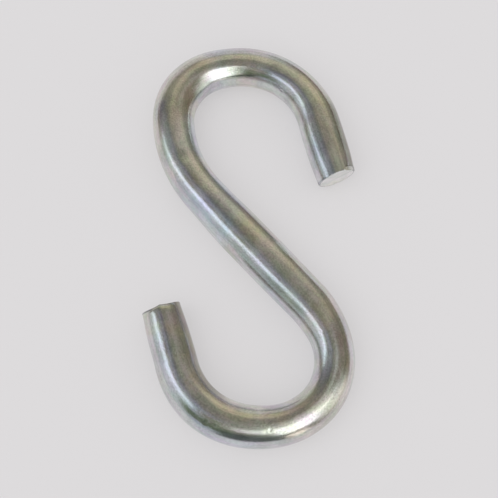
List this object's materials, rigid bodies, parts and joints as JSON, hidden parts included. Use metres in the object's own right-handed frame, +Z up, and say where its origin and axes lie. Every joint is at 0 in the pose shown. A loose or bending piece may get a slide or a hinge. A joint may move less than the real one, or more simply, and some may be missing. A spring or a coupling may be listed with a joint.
{
  "type": "s hook",
  "caption": "S hook bent from round zinc-plated steel wire: a slanting shank between opposed open bows, with short straight legs and sheared ends.",
  "frame": {"origin": "centre of the bounding box on the surface the hook lies on", "axes": "+Y along the line of pull, through the crowns of both bows and towards the upper bow; +X towards the upper bow's free end; +Z up, out of the plane of the S"},
  "size_m": [0.033, 0.0604, 0.006],
  "materials": {
    "zinc_plate": "bright zinc plate over drawn steel wire, semi-gloss with a fine grain"
  },
  "bodies": {
    "root": {"hook": "zinc_plate"}
  },
  "joints": []
}
